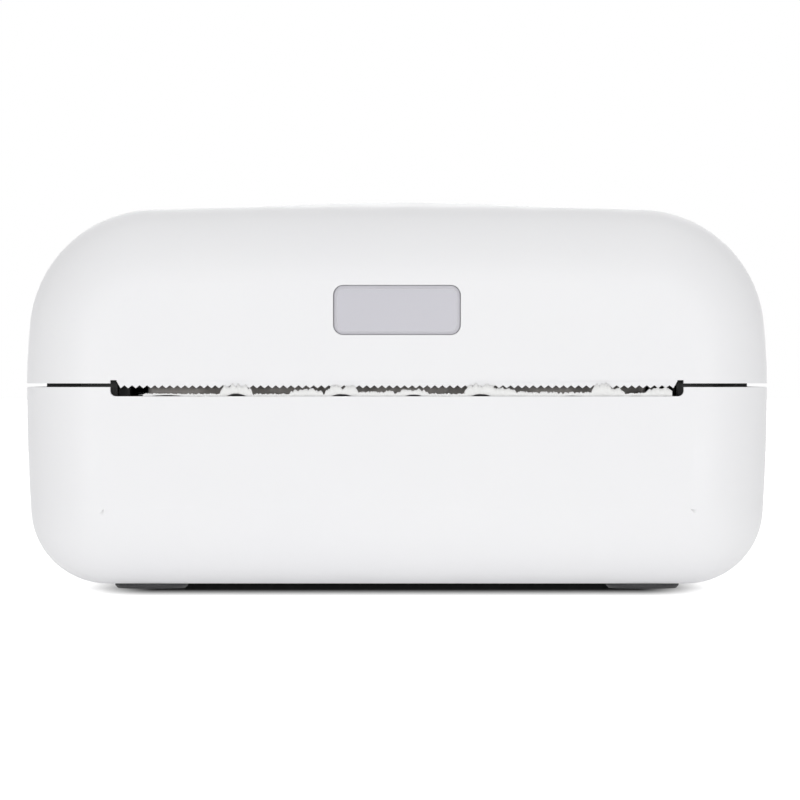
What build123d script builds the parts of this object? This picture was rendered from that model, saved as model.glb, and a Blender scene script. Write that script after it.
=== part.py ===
"""Pocket thermal printer: two rounded case halves, a hinged cover and a 57 mm paper roll.

Millimetres. X is the width, the front faces -Y, Z is up and the feet stand on Z = 0.
"""
from build123d import *
import math
import os

os.makedirs("parts", exist_ok=True)

# Case
half_width = 40.5
half_depth = 40.5
floor_z = 0.6
seam_z = 22.3
seam_gap = 0.4
crown_z = 41.9
wall = 1.8
edge_roll = 8.3
inner_slope = 0.65
lid_shoulder = 13.7
base_side_radius = 214.0
lid_side_radius = 66.0
crown_radius = 900.0
dome_radius = 255.0
dome_half = 24.4
dome_z = 43.0
rib_clearance = 1.6

# Paper slot and tear edge
slot_half = 31.05
slot_floor_z = 21.1
strip_pocket_z = 22.85
tooth_pitch = 0.82
tooth_count = 73
tooth_tip_z = 21.98
tooth_root_z = 22.3
comb_front = 40.2

# Hinge
hinge_y = 38.5
barrel_radius = 2.0
pin_radius = 0.9
groove_angle = 49.0
base_knuckles = ((-28.0, -19.9), (-8.0, 8.0), (19.9, 28.0))
lid_knuckles = ((-19.6, -8.3), (8.3, 19.6))

# Paper roll and bay
roll_radius = 15.0
core_radius = 6.5
paper_half = 28.5
paper_shift = 0.4
roll_y = 4.0
roll_z = 20.2
bay_z = 21.5
bay_radius = 16.5
bay_wall = 1.2
bay_half = 29.6
paper_thickness = 0.15

# Platen, head and gear train
platen_y = -31.0
platen_z = 24.5
platen_radius = 4.5
rubber_half = 27.1
gear_module = 0.4
platen_teeth = 20
idler_teeth = 30
pinion_teeth = 12
gear_x0 = 33.8
gear_x1 = 36.4
idler_y = -26.5
idler_z = platen_z - math.sqrt(10.0 ** 2 - (idler_y - platen_y) ** 2)
motor_y = -18.5
motor_z = idler_z - math.sqrt(8.4 ** 2 - (motor_y - idler_y) ** 2)
head_top_z = 19.76
pivot_y = -25.0
pivot_z = 16.2

# Release key
key_half = 6.85
key_z0 = 27.8
key_z1 = 33.1
key_corner = 1.05


def side_arc(inset, radius, z_end):
    """Angle of a case side arc from the seam to the height z_end."""
    return math.degrees(math.asin((z_end - seam_z) / (radius - inset)))


def case_form(inset):
    """The closed case body drawn in by inset: rounded outside, with plain sloped edges inside."""
    depth = half_depth - inset
    lid_r = lid_side_radius - inset
    base_r = base_side_radius - inset
    crown_r = crown_radius - inset
    centre_x = half_width - lid_side_radius
    corner_x = 36.0
    for step in range(30):
        corner_z = crown_z - crown_radius + math.sqrt(crown_r ** 2 - corner_x ** 2)
        corner_x = centre_x + math.sqrt(lid_r ** 2 - (corner_z - seam_z) ** 2)
    lid_angle = side_arc(inset, lid_side_radius, corner_z)
    base_angle = side_arc(inset, base_side_radius, floor_z + inset)
    crown_angle = math.degrees(math.asin(corner_x / crown_r))
    foot_x = half_width - base_side_radius + base_r * math.cos(math.radians(base_angle))
    with BuildPart() as form:
        with BuildSketch(Plane.XZ.offset(depth)) as front_view:
            with BuildLine():
                Line((-foot_x, floor_z + inset), (foot_x, floor_z + inset))
                CenterArc((half_width - base_side_radius, seam_z), base_r, base_angle, -base_angle)
                CenterArc((centre_x, seam_z), lid_r, 0, lid_angle)
                CenterArc((0, crown_z - crown_radius), crown_r, 90 - crown_angle, 2 * crown_angle)
                CenterArc((-centre_x, seam_z), lid_r, 180 - lid_angle, lid_angle)
                CenterArc((base_side_radius - half_width, seam_z), base_r, 180, -base_angle)
            make_face()
            fillet(front_view.vertices().group_by(Axis.Y)[-1], radius=lid_shoulder - inset)
        extrude(amount=-2 * depth)
        loops = form.faces().filter_by(Axis.Y).edges()
        floor_edges = form.edges().filter_by(Axis.Y).group_by(Axis.Z)[0]
        if inset:
            chamfer(loops + floor_edges, length=inner_slope * (edge_roll - inset))
        else:
            fillet(loops + floor_edges, radius=edge_roll)
    return form.part


def rod(x0, x1, y, z, radius):
    """A round bar along X."""
    with BuildPart() as bar:
        with BuildSketch(Plane.YZ.offset(x0)):
            with Locations((y, z)):
                Circle(radius)
        extrude(amount=x1 - x0)
    return bar.part


def block(x0, x1, y0, y1, z0, z1):
    """A box given by its limits."""
    with BuildPart() as box:
        with BuildSketch(Plane.XY.offset(z0)):
            with Locations(((x0 + x1) / 2, (y0 + y1) / 2)):
                Rectangle(x1 - x0, y1 - y0)
        extrude(amount=z1 - z0)
    return box.part


def disc(x, y, z0, z1, radius):
    """An upright round post."""
    with BuildPart() as post:
        with BuildSketch(Plane.XY.offset(z0)):
            with Locations((x, y)):
                Circle(radius)
        extrude(amount=z1 - z0)
    return post.part


def coil(radius, wire, length, turns):
    """A compression spring standing on Z = 0, eight straight runs to a turn."""
    runs = round(8 * turns)
    rise = length - 1.3 * wire
    points = []
    for run in range(runs + 1):
        turned = 2 * math.pi * turns * run / runs
        points.append((radius * math.cos(turned), radius * math.sin(turned),
                       0.65 * wire + rise * run / runs))
    with BuildPart() as spring:
        with BuildLine() as lead:
            Polyline(*points)
        with BuildSketch(Plane(lead.line @ 0, x_dir=(0, 0, 1), z_dir=lead.line % 0)):
            Rectangle(0.88 * wire, 0.88 * wire)
        sweep(transition=Transition.RIGHT)
    return spring.part


def groove():
    """The V along the back that lets the cover swing down behind the base."""
    reach = 6.0
    rise = reach * math.tan(math.radians(groove_angle))
    with BuildPart() as cut:
        with BuildSketch(Plane.YZ.offset(-half_width - 1)):
            with BuildLine():
                Polyline((hinge_y, seam_z), (hinge_y + reach, seam_z - rise),
                         (hinge_y + reach, seam_z + rise), close=True)
            make_face()
        extrude(amount=2 * half_width + 2)
    return cut.part


def barrel(ranges, web_z0, web_z1):
    """Hinge knuckles with the webs that tie them to a case wall."""
    with BuildPart() as knuckles:
        for x0, x1 in ranges:
            add(rod(x0, x1, hinge_y, seam_z, barrel_radius))
            add(block(x0, x1, hinge_y - barrel_radius, half_depth - wall + 0.1, web_z0, web_z1))
    return knuckles.part


def gear(teeth, x0, x1, y, z, phase, bore):
    """A spur gear on X; a tooth points to the angle phase in the YZ plane."""
    pitch_r = gear_module * teeth / 2
    root_r = pitch_r - 1.2 * gear_module
    tip_r = pitch_r + 0.95 * gear_module
    half_pitch = math.pi * gear_module / 4 - 0.06
    with BuildPart() as wheel:
        with BuildSketch(Plane.YZ.offset(x0)):
            with Locations((y, z)):
                Circle(root_r + 0.02)
                with PolarLocations(0, teeth, start_angle=phase):
                    Polygon((root_r - 0.1, -half_pitch * 1.45), (pitch_r, -half_pitch),
                            (tip_r, -half_pitch * 0.42), (tip_r, half_pitch * 0.42),
                            (pitch_r, half_pitch), (root_r - 0.1, half_pitch * 1.45),
                            align=None)
                Circle(bore, mode=Mode.SUBTRACT)
        extrude(amount=x1 - x0)
    return wheel.part


def mate_phase(contact, phase, teeth, mate_teeth):
    """Phase of a gear in mesh with another along the contact angle."""
    pitch = 360 / teeth
    share = ((contact - phase) % pitch) / pitch
    mate_pitch = 360 / mate_teeth
    return contact + 180 + share * mate_pitch + mate_pitch / 2


outer_form = case_form(0)
inner_form = case_form(wall)

# The low dome on the cover: a shallow cap cut from a large ball.
with BuildPart() as dome_cap:
    with BuildSketch(Plane.XY.offset(crown_z - 1.2)):
        Circle(dome_half)
    extrude(amount=3)
    with Locations((0, 0, dome_z - dome_radius)):
        Sphere(dome_radius, rotation=(0, 90, 0), mode=Mode.INTERSECT)

# Straight ribs that stiffen the top of the cover, clear of a full roll.
with BuildPart() as roll_ribs:
    for x in (-21, -7, 7, 21):
        add(block(x - 0.6, x + 0.6, -12, 26, roll_z + roll_radius + rib_clearance, crown_z - 1.0))

# Cover: the upper half of the skin with its slot pocket, key window, hinge and ribs.
with BuildPart() as cover_shell:
    add(outer_form)
    add(dome_cap.part)
    add(inner_form, mode=Mode.SUBTRACT)
    split(bisect_by=Plane.XY.offset(seam_z + seam_gap / 2), keep=Keep.TOP)
    add(block(-slot_half, slot_half, -half_depth - 1, -half_depth + wall + 0.5, seam_z, strip_pocket_z),
        mode=Mode.SUBTRACT)
    with BuildSketch(Plane.XZ.offset(half_depth + 1)):
        with Locations((0, (key_z0 + key_z1) / 2)):
            RectangleRounded(2 * key_half + 0.4, key_z1 - key_z0 + 0.4, key_corner + 0.2)
    extrude(amount=-(wall + 2), mode=Mode.SUBTRACT)
    add(groove(), mode=Mode.SUBTRACT)
    for x0, x1 in base_knuckles:
        add(rod(x0 - 0.3, x1 + 0.3, hinge_y, seam_z, barrel_radius + 0.3), mode=Mode.SUBTRACT)
    add(barrel(lid_knuckles, seam_z, seam_z + 5.5))
    add(rod(-29, 29, hinge_y, seam_z, pin_radius + 0.06), mode=Mode.SUBTRACT)
    for side in (-1, 1):
        for z0 in (27.4, 32.6):
            add(block(*sorted((side * 9, side * 26)), -half_depth + wall - 0.1, -35.2, z0, z0 + 0.9))
        for y in (-28.0, -15.0):
            add(disc(side * 24, y, 32.45, crown_z - 1.2, 2.5))
            add(disc(side * 24, y, 32.4, 38.5, 0.85), mode=Mode.SUBTRACT)
    add(roll_ribs.part)
cover_shell.part.label = "cover_shell"
export_step(cover_shell.part, "parts/cover_shell.step")

# Base: the lower half with its paper lip, rear openings, hinge, bosses and foot recesses.
foot_spots = [(x, y) for x in (-27, 27) for y in (-28, 28)]
with BuildPart() as base_shell:
    add(outer_form)
    add(inner_form, mode=Mode.SUBTRACT)
    split(bisect_by=Plane.XY.offset(seam_z - seam_gap / 2), keep=Keep.BOTTOM)
    with BuildSketch(Plane.XZ.offset(half_depth + 1)):
        with Locations((0, slot_floor_z + 1.5)):
            RectangleRounded(2 * slot_half, 3, 0.6)
    extrude(amount=-(wall + 2.5), mode=Mode.SUBTRACT)
    add(groove(), mode=Mode.SUBTRACT)
    for x0, x1 in lid_knuckles:
        add(rod(x0 - 0.3, x1 + 0.3, hinge_y, seam_z, barrel_radius + 0.3), mode=Mode.SUBTRACT)
    add(barrel(base_knuckles, seam_z - 3.7, seam_z))
    add(rod(-29, 29, hinge_y, seam_z, pin_radius + 0.02), mode=Mode.SUBTRACT)
    with BuildSketch(Plane.XZ.offset(-half_depth - 1)):
        with Locations((0, 6.3)):
            RectangleRounded(8.4, 3.4, 0.9)
        with Locations((-16, 7.4)):
            RectangleRounded(7.6, 3.6, 1.2)
        with Locations((-24, 7.2)):
            Circle(1.1)
        with Locations((14, 7.2)):
            Circle(0.7)
    extrude(amount=6, mode=Mode.SUBTRACT)
    for x, y in foot_spots:
        if y < 0:
            add(disc(x, y, floor_z + 1.0, 12.95, 2.5))
            add(disc(x, y, 5, 13, 0.85), mode=Mode.SUBTRACT)
        else:
            add(disc(x, y, floor_z + 1.0, 3.0, 3.2))
            add(disc(x, y, floor_z - 0.1, 3.1, 1.15), mode=Mode.SUBTRACT)
            add(disc(x, y, floor_z - 0.1, 2.2, 2.1), mode=Mode.SUBTRACT)
        add(disc(x, y, floor_z - 0.1, floor_z + 0.5, 4.1), mode=Mode.SUBTRACT)
    for x, y in ((-20, 16), (20, 16), (-10, 33), (10, 33)):
        add(disc(x, y, floor_z + 1.0, 3.95, 1.6))
base_shell.part.label = "base_shell"
export_step(base_shell.part, "parts/base_shell.step")

with BuildPart() as rubber_feet:
    for x, y in foot_spots:
        with BuildSketch(Plane.XY):
            with Locations((x, y)):
                Circle(4.0)
        extrude(amount=floor_z + 0.45)
    chamfer(rubber_feet.edges().filter_by(GeomType.CIRCLE).group_by(Axis.Z)[0], length=0.3)
rubber_feet.part.label = "rubber_feet"
export_step(rubber_feet.part, "parts/rubber_feet.step")


def screw(x, y, head_z, up, length):
    """A small cross-recessed screw; up is 1 when the shank points to +Z."""
    with BuildPart() as fastener:
        with BuildSketch(Plane.XY.offset(head_z)):
            with Locations((x, y)):
                Circle(1.8)
        extrude(amount=up * 0.9)
        with BuildSketch(Plane.XY.offset(head_z + up * 0.8)):
            with Locations((x, y)):
                Circle(0.8)
        extrude(amount=up * length)
        with BuildSketch(Plane.XY.offset(head_z)):
            with Locations((x, y)):
                Rectangle(2.0, 0.4)
                Rectangle(0.4, 2.0)
        extrude(amount=up * 0.5, mode=Mode.SUBTRACT)
    return fastener.part


with BuildPart() as base_screws:
    for x, y in foot_spots:
        if y > 0:
            add(screw(x, y, 1.25, 1, 6.0))
base_screws.part.label = "base_screws"
export_step(base_screws.part, "parts/base_screws.step")

with BuildPart() as hinge_pin:
    add(rod(-27.9, 27.9, hinge_y, seam_z, pin_radius))
    chamfer(hinge_pin.edges().filter_by(GeomType.CIRCLE), length=0.2)
hinge_pin.part.label = "hinge_pin"
export_step(hinge_pin.part, "parts/hinge_pin.step")

# Inner frame: rim inside the skin, deck, paper bay, guide edge, cheeks and catches.
guide_y = -14.05
guide_z = 19.0
guide_round = 1.6
with BuildPart() as frame_rim:
    add(case_form(wall + 0.5))
    add(case_form(wall + 1.8), mode=Mode.SUBTRACT)
    split(bisect_by=Plane.XY.offset(14.6), keep=Keep.TOP)
    split(bisect_by=Plane.XY.offset(23.2), keep=Keep.BOTTOM)

with BuildPart() as inner_frame:
    add(frame_rim.part)
    with BuildSketch(Plane.XY.offset(20.0)):
        RectangleRounded(74.8, 74.8, 5.2)
        with Locations((0, -40)):
            Rectangle(80, 37, mode=Mode.SUBTRACT)
        with Locations((37, -25)):
            Rectangle(7.4, 11, mode=Mode.SUBTRACT)
    extrude(amount=1.4)
    with BuildSketch(Plane.YZ.offset(-bay_half - bay_wall)):
        with Locations((roll_y, bay_z)):
            Circle(bay_radius + bay_wall)
        with Locations((roll_y, 31.4)):
            Rectangle(50, 20, mode=Mode.SUBTRACT)
    extrude(amount=2 * (bay_half + bay_wall))
    with BuildSketch(Plane.YZ.offset(-bay_half)):
        with Locations((roll_y, bay_z)):
            Circle(bay_radius)
        with Locations((-19.0, 24.0)):
            Rectangle(18, 10)
    extrude(amount=2 * bay_half, mode=Mode.SUBTRACT)
    with BuildSketch(Plane.YZ.offset(-bay_half)) as guide:
        with Locations((-13.675, 19.3)):
            Rectangle(2.45, 2.6)
        fillet(guide.vertices().group_by(Axis.Y)[-1].sort_by(Axis.X)[-1], radius=guide_round)
    extrude(amount=2 * bay_half)
    add(block(-30.3, 30.3, -24.0, -14.0, 19.4, 20.6))
    for side in (-1, 1):
        with BuildSketch(Plane.YZ.offset(side * 29.7)):
            with Locations(((-35.6 - 22.5) / 2, (13.9 + 25.6) / 2)):
                Rectangle(13.1, 11.7)
            with Locations((platen_y, platen_z)):
                Circle(2.35, mode=Mode.SUBTRACT)
            with Locations((platen_y, platen_z + 2)):
                Rectangle(4.7, 4, mode=Mode.SUBTRACT)
            with Locations((pivot_y, pivot_z)):
                Circle(0.77, mode=Mode.SUBTRACT)
        extrude(amount=0.6, both=True)
        add(block(*sorted((side * 24, side * 30.3)), -31.0, -25.2, 13.9, 14.9))
        add(disc(side * 27, -28, 13.8, 15.0, 0.9), mode=Mode.SUBTRACT)
        add(disc(side * 27, 28, 3.05, 20.5, 2.5))
        add(disc(side * 27, 28, 3.0, 9.0, 0.82), mode=Mode.SUBTRACT)
        add(block(*sorted((side * 24.3, side * 25.3)), 23.0, 35.8, 12.0, 20.5))
        add(block(*sorted((side * 30.35, side * 32.4)), -40, -36.5, 17.2, 19.2), mode=Mode.SUBTRACT)
    add(block(-30.35, 30.35, -40, -36, 20.2, 24), mode=Mode.SUBTRACT)
    add(block(-29.6, 29.6, 35.8, 40, 17.6, 24), mode=Mode.SUBTRACT)
    add(block(5.8, 10.2, -22.0, -18.0, 19.0, 21.0), mode=Mode.SUBTRACT)
    add(rod(33.4, 36.9, platen_y, platen_z, 4.9), mode=Mode.SUBTRACT)
    add(rod(28.5, 31.0, motor_y, motor_z, 5.9), mode=Mode.SUBTRACT)
inner_frame.part.label = "inner_frame"
export_step(inner_frame.part, "parts/inner_frame.step")

# Sheet-steel chassis of the print mechanism: a floor plate with two folded sides.
with BuildPart() as mechanism_chassis:
    with BuildSketch(Plane.XY.offset(13.0)):
        with Locations((0, -29.5)):
            Rectangle(66.2, 9.4)
        with Locations((-27, -28), (27, -28)):
            Circle(0.9, mode=Mode.SUBTRACT)
        with Locations((-14, -31.5), (14, -31.5)):
            Circle(0.8, mode=Mode.SUBTRACT)
        with Locations((0, -29.5)):
            SlotOverall(16, 3, mode=Mode.SUBTRACT)
    extrude(amount=0.8)
    with BuildSketch(Plane.YZ.offset(-33.1)):
        with Locations((-27.1, 16.4)):
            RectangleRounded(14.2, 6.8, 0.8)
    extrude(amount=0.8)
    with BuildSketch(Plane.YZ.offset(32.3)):
        with BuildLine():
            Polyline((-34.2, 13.0), (-34.2, 19.8), (-12.0, 19.8), (-12.0, 8.0), (-15.5, 5.6),
                     (-23.0, 5.6), (-26.0, 9.0), (-26.0, 13.0), close=True)
        make_face()
        with Locations((motor_y, motor_z)):
            Circle(2.6, mode=Mode.SUBTRACT)
        with Locations((idler_y, idler_z)):
            Circle(0.8, mode=Mode.SUBTRACT)
    extrude(amount=0.8)
mechanism_chassis.part.label = "mechanism_chassis"
export_step(mechanism_chassis.part, "parts/mechanism_chassis.step")

with BuildPart() as mechanism_screws:
    for side in (-1, 1):
        add(screw(side * 27, -28, 15.8, -1, 7.0))
mechanism_screws.part.label = "mechanism_screws"
export_step(mechanism_screws.part, "parts/mechanism_screws.step")

# Stepper motor: a flat can with a boss, and the shaft that carries the pinion.
with BuildPart() as motor_body:
    add(rod(18.3, 32.2, motor_y, motor_z, 5.6))
    chamfer(motor_body.edges().filter_by(GeomType.CIRCLE).group_by(Axis.X)[0], length=0.5)
    add(rod(32.1, 33.3, motor_y, motor_z, 2.5))
    add(block(22.0, 28.0, motor_y - 2.5, motor_y + 2.5, motor_z - 6.8, motor_z - 4.8))
    add(rod(26.0, 33.4, motor_y, motor_z, 0.85), mode=Mode.SUBTRACT)
motor_body.part.label = "motor_body"
export_step(motor_body.part, "parts/motor_body.step")

with BuildPart() as motor_shaft:
    add(rod(26.2, 36.6, motor_y, motor_z, 0.8))
motor_shaft.part.label = "motor_shaft"
export_step(motor_shaft.part, "parts/motor_shaft.step")

# Gear train: the platen gear meshes with the idler, the idler with the motor pinion.
platen_contact = math.degrees(math.atan2(idler_z - platen_z, idler_y - platen_y))
platen_phase = platen_contact + 180 / platen_teeth
idler_phase = mate_phase(platen_contact, platen_phase, platen_teeth, idler_teeth)
idler_contact = math.degrees(math.atan2(motor_z - idler_z, motor_y - idler_y))
pinion_phase = mate_phase(idler_contact, idler_phase, idler_teeth, pinion_teeth)

with BuildPart() as motor_pinion:
    add(gear(pinion_teeth, gear_x0, gear_x1, motor_y, motor_z, pinion_phase, 0.8))
motor_pinion.part.label = "motor_pinion"
export_step(motor_pinion.part, "parts/motor_pinion.step")

with BuildPart() as idler_axle:
    add(rod(32.3, 36.5, idler_y, idler_z, 0.8))
idler_axle.part.label = "idler_axle"
export_step(idler_axle.part, "parts/idler_axle.step")

with BuildPart() as idler_gear:
    add(gear(idler_teeth, gear_x0, gear_x1, idler_y, idler_z, idler_phase, 0.85))
    add(rod(33.3, gear_x0, idler_y, idler_z, 1.8))
    add(rod(33.2, gear_x1, idler_y, idler_z, 0.85), mode=Mode.SUBTRACT)
    with BuildSketch(Plane.YZ.offset(gear_x1)):
        with Locations((idler_y, idler_z)):
            Circle(4.6)
            Circle(2.0, mode=Mode.SUBTRACT)
    extrude(amount=-0.8, mode=Mode.SUBTRACT)
idler_gear.part.label = "idler_gear"
export_step(idler_gear.part, "parts/idler_gear.step")

# Platen: a stepped steel shaft with a rubber sleeve, its gear and two bushes.
with BuildPart() as platen_shaft:
    add(rod(-30.5, 36.7, platen_y, platen_z, 1.25))
    add(rod(-rubber_half, rubber_half, platen_y, platen_z, 2.5))
    chamfer(platen_shaft.edges().filter_by(GeomType.CIRCLE).group_by(Axis.X)[-1], length=0.25)
    with BuildSketch(Plane.YZ.offset(33.4)):
        with Locations((platen_y, platen_z + 1.5)):
            Rectangle(3, 1.2)
    extrude(amount=4, mode=Mode.SUBTRACT)
platen_shaft.part.label = "platen_shaft"
export_step(platen_shaft.part, "parts/platen_shaft.step")

with BuildPart() as platen_rubber:
    add(rod(-rubber_half, rubber_half, platen_y, platen_z, platen_radius))
    chamfer(platen_rubber.edges().filter_by(GeomType.CIRCLE), length=0.3)
    add(rod(-rubber_half - 1, rubber_half + 1, platen_y, platen_z, 2.5), mode=Mode.SUBTRACT)
platen_rubber.part.label = "platen_rubber"
export_step(platen_rubber.part, "parts/platen_rubber.step")

with BuildPart() as platen_gear:
    add(gear(platen_teeth, gear_x0, gear_x1, platen_y, platen_z, platen_phase, 0.5))
    with BuildSketch(Plane.YZ.offset(gear_x0 - 0.1)):
        with Locations((platen_y, platen_z)):
            Circle(1.25)
        with Locations((platen_y, platen_z + 1.5)):
            Rectangle(3, 1.2, mode=Mode.SUBTRACT)
    extrude(amount=3, mode=Mode.SUBTRACT)
platen_gear.part.label = "platen_gear"
export_step(platen_gear.part, "parts/platen_gear.step")

with BuildPart() as platen_bearings:
    for x0, x1 in ((-30.4, -27.6), (27.6, 30.4)):
        add(rod(x0, x1, platen_y, platen_z, 2.2))
        add(rod(x0 - 1, x1 + 1, platen_y, platen_z, 1.3), mode=Mode.SUBTRACT)
platen_bearings.part.label = "platen_bearings"
export_step(platen_bearings.part, "parts/platen_bearings.step")

# Print head: heat sink with pivot lugs, ceramic with its raised heater line, driver cover.
with BuildPart() as head_heat_sink:
    add(block(-26.5, 26.5, -35.0, -26.2, 17.0, 18.8))
    for x in (-15, 15):
        with BuildSketch(Plane.YZ.offset(x - 1.0)) as lug:
            with BuildLine():
                Polyline((-28.0, 18.8), (-28.0, 17.0), (-26.2, 15.0), (-23.9, 15.0),
                         (-23.9, 17.4), (-25.4, 18.8), close=True)
            make_face()
            with Locations((pivot_y, pivot_z)):
                Circle(0.8, mode=Mode.SUBTRACT)
        extrude(amount=2.0)
    with Locations((-14, -31.5, 17.4), (14, -31.5, 17.4)):
        Cylinder(radius=0.9, height=1.0, mode=Mode.SUBTRACT)
head_heat_sink.part.label = "head_heat_sink"
export_step(head_heat_sink.part, "parts/head_heat_sink.step")

with BuildPart() as thermal_head:
    with BuildSketch(Plane.YZ.offset(-26.0)) as head_section:
        with Locations((-31.4, 19.15)):
            Rectangle(7.0, 0.7)
        with Locations((platen_y, 19.6)):
            Rectangle(1.2, 2 * (head_top_z - 19.6))
    extrude(amount=52.0)
thermal_head.part.label = "thermal_head"
export_step(thermal_head.part, "parts/thermal_head.step")

with BuildPart() as head_driver_cover:
    with BuildSketch(Plane.YZ.offset(-25.0)) as cover_section:
        with Locations((-27.1, 19.1)):
            Rectangle(1.5, 0.6)
        fillet(cover_section.vertices().group_by(Axis.Y)[-1], radius=0.25)
    extrude(amount=50.0)
head_driver_cover.part.label = "head_driver_cover"
export_step(head_driver_cover.part, "parts/head_driver_cover.step")

with BuildPart() as head_pivot_pin:
    add(rod(-30.0, 30.0, pivot_y, pivot_z, 0.75))
head_pivot_pin.part.label = "head_pivot_pin"
export_step(head_pivot_pin.part, "parts/head_pivot_pin.step")

with BuildPart() as head_springs:
    for x in (-14, 14):
        add(coil(1.4, 0.36, 3.16, 3.5).moved(Location((x, -31.5, 13.82))))
head_springs.part.label = "head_springs"
export_step(head_springs.part, "parts/head_springs.step")

with BuildPart() as head_flex:
    with BuildSketch(Plane.YZ.offset(-9.0)) as flex_section:
        with BuildLine() as flex_line:
            Polyline((-25.6, 18.2), (-23.6, 17.4), (-23.6, 7.0), (-20.0, 3.9), (9.0, 3.3),
                     (12.0, 5.3), (15.0, 5.3))
            fillet(flex_line.vertices().sort_by(Axis.X)[1:-1], radius=0.8)
        trace(line_width=0.2)
    extrude(amount=18.0)
head_flex.part.label = "head_flex"
export_step(head_flex.part, "parts/head_flex.step")

# Paper: the roll on its core, and the web that runs over the guide to the tear edge.
with BuildPart() as paper_roll:
    add(rod(paper_shift - paper_half, paper_shift + paper_half, roll_y, roll_z, roll_radius))
    add(rod(-40, 40, roll_y, roll_z, core_radius), mode=Mode.SUBTRACT)
paper_roll.part.label = "paper_roll"
export_step(paper_roll.part, "parts/paper_roll.step")

with BuildPart() as paper_core:
    add(rod(paper_shift - paper_half, paper_shift + paper_half, roll_y, roll_z, core_radius))
    add(rod(-40, 40, roll_y, roll_z, core_radius - 1.2), mode=Mode.SUBTRACT)
paper_core.part.label = "paper_core"
export_step(paper_core.part, "parts/paper_core.step")

leave_r = roll_radius + 0.6 * paper_thickness
turn_r = guide_round + paper_thickness
centre_gap = math.hypot(guide_y - roll_y, guide_z - roll_z)
leave_angle = (math.atan2(guide_z - roll_z, guide_y - roll_y)
               + math.acos((leave_r + turn_r) / centre_gap)) % (2 * math.pi)
leave_point = (roll_y + leave_r * math.cos(leave_angle), roll_z + leave_r * math.sin(leave_angle))
meet_angle = math.degrees(leave_angle) - 180
with BuildPart() as paper_web:
    with BuildSketch(Plane.YZ.offset(paper_shift - paper_half)):
        with BuildLine():
            turn = CenterArc((guide_y, guide_z), turn_r, meet_angle, 90 - meet_angle)
            Line(leave_point, turn @ 0)
            dip = Polyline(turn @ 1, (-24.4, guide_z + turn_r), (-27.6, 20.2), (-30.4, 19.88),
                           (-31.9, 19.89), (-34.5, 20.35), (-37.6, 21.28), (-40.3, 21.34))
        trace(line_width=paper_thickness)
    extrude(amount=2 * paper_half)
paper_web.part.label = "paper_web"
export_step(paper_web.part, "parts/paper_web.step")

with BuildPart() as paper_sensor:
    add(block(6.0, 10.0, -21.8, -18.2, 18.6, 20.5))
    add(block(5.2, 10.8, -22.6, -17.4, 17.6, 19.3))
    for y in (-20.8, -19.2):
        add(disc(8, y, 20.3, 20.6, 0.5), mode=Mode.SUBTRACT)
paper_sensor.part.label = "paper_sensor"
export_step(paper_sensor.part, "parts/paper_sensor.step")

# Electronics on the floor behind the bay, with the cell above them.
board_z = 4.0
board_top = 5.0
with BuildPart() as main_board:
    with BuildSketch(Plane.XY.offset(board_z)):
        with Locations((0, 24.15)):
            RectangleRounded(64, 23.3, 3.6)
        with Locations((-27, 28), (27, 28)):
            Circle(3.0, mode=Mode.SUBTRACT)
    extrude(amount=board_top - board_z)
main_board.part.label = "main_board"
export_step(main_board.part, "parts/main_board.step")

chip_list = (
    (-12, 24, 7.0, 7.0, 0.9),
    (12, 24, 12.0, 9.0, 1.8),
    (-2, 24, 5.0, 5.0, 1.0),
    (-20, 20, 4.0, 4.0, 2.0),
    (0, 16.6, 19.0, 3.4, 1.3),
    (-30, 20.0, 3.2, 6.0, 2.6),
    (26, 18, 6.0, 4.0, 1.5),
    (-24, 35.0, 1.6, 0.9, 3.0),
)
with BuildPart() as board_parts:
    for x, y, width, depth, height in chip_list:
        with BuildSketch(Plane.XY.offset(board_top)):
            with Locations((x, y)):
                Rectangle(width, depth)
        extrude(amount=height)
    add(block(-9.2, 9.2, 14.8, 15.4, 5.15, 5.45), mode=Mode.SUBTRACT)
board_parts.part.label = "board_parts"
export_step(board_parts.part, "parts/board_parts.step")

with BuildPart() as usb_socket:
    with BuildSketch(Plane.XZ.offset(-38.9)) as socket_outline:
        with Locations((0, 6.3)):
            Trapezoid(7.6, 2.6, 70, align=(Align.CENTER, Align.CENTER), rotation=180)
        fillet(socket_outline.vertices(), radius=0.35)
    extrude(amount=5.6)
    with BuildSketch(Plane.XZ.offset(-38.9)) as socket_mouth:
        with Locations((0, 6.3)):
            Trapezoid(6.9, 1.9, 70, align=(Align.CENTER, Align.CENTER), rotation=180)
    extrude(amount=4.6, mode=Mode.SUBTRACT)
    add(block(-2.0, 2.0, 34.0, 38.2, 6.35, 6.85))
usb_socket.part.label = "usb_socket"
export_step(usb_socket.part, "parts/usb_socket.step")

with BuildPart() as tact_switches:
    for x in (-16, 14):
        add(block(x - 2.6, x + 2.6, 32.4, 35.6, board_top, 8.6))
        with BuildSketch(Plane.XZ.offset(-35.5)):
            with Locations((x, 7.2)):
                Circle(0.9)
        extrude(amount=-1.0)
tact_switches.part.label = "tact_switches"
export_step(tact_switches.part, "parts/tact_switches.step")

with BuildPart() as light_pipe:
    with BuildSketch(Plane.XZ.offset(-36.4)):
        with Locations((-24, 7.2)):
            Circle(1.0)
    extrude(amount=-3.7)
    chamfer(light_pipe.edges().filter_by(GeomType.CIRCLE).group_by(Axis.Y)[-1], length=0.2)
light_pipe.part.label = "light_pipe"
export_step(light_pipe.part, "parts/light_pipe.step")

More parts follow.
